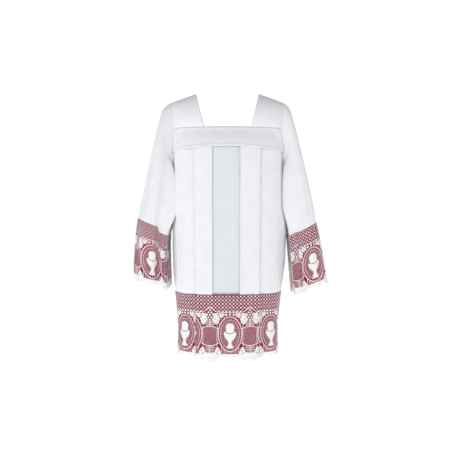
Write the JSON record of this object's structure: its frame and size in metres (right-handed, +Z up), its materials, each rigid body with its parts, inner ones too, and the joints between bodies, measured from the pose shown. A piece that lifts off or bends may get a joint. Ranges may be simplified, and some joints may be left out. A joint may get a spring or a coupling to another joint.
{
  "type": "surplice",
  "caption": "Worn-form white surplice with square neck, yoke, box pleats, wide sleeves and guipure lace over wine-red lining at hem and cuffs.",
  "frame": {"origin": "middle between the two shoulder seams at the height of the neck's top, where the wearer's shoulders carry the garment", "axes": "+Z up, the front faces -Y, +X towards the wearer's left"},
  "size_m": [0.7097, 0.2944, 0.9527],
  "materials": {
    "white_cloth": "smooth white polyester-cotton plain weave, faint sheen",
    "red_lining": "wine-red satin lining",
    "white_lace": "white guipure lace, matt thread"
  },
  "bodies": {
    "root": {"shoulder_right": "white_cloth", "shoulder_left": "white_cloth", "front_yoke": "white_cloth", "back_yoke": "white_cloth", "front_panel": "white_cloth", "back_panel": "white_cloth", "sleeve_right": "white_cloth", "sleeve_left": "white_cloth", "hem_lining_front": "red_lining", "hem_lining_back": "red_lining", "hem_lace_front": "white_lace", "hem_lace_back": "white_lace", "cuff_lining_right": "red_lining", "cuff_lace_right_front": "white_lace", "cuff_lace_right_back": "white_lace", "cuff_lining_left": "red_lining", "cuff_lace_left_front": "white_lace", "cuff_lace_left_back": "white_lace"}
  },
  "joints": []
}
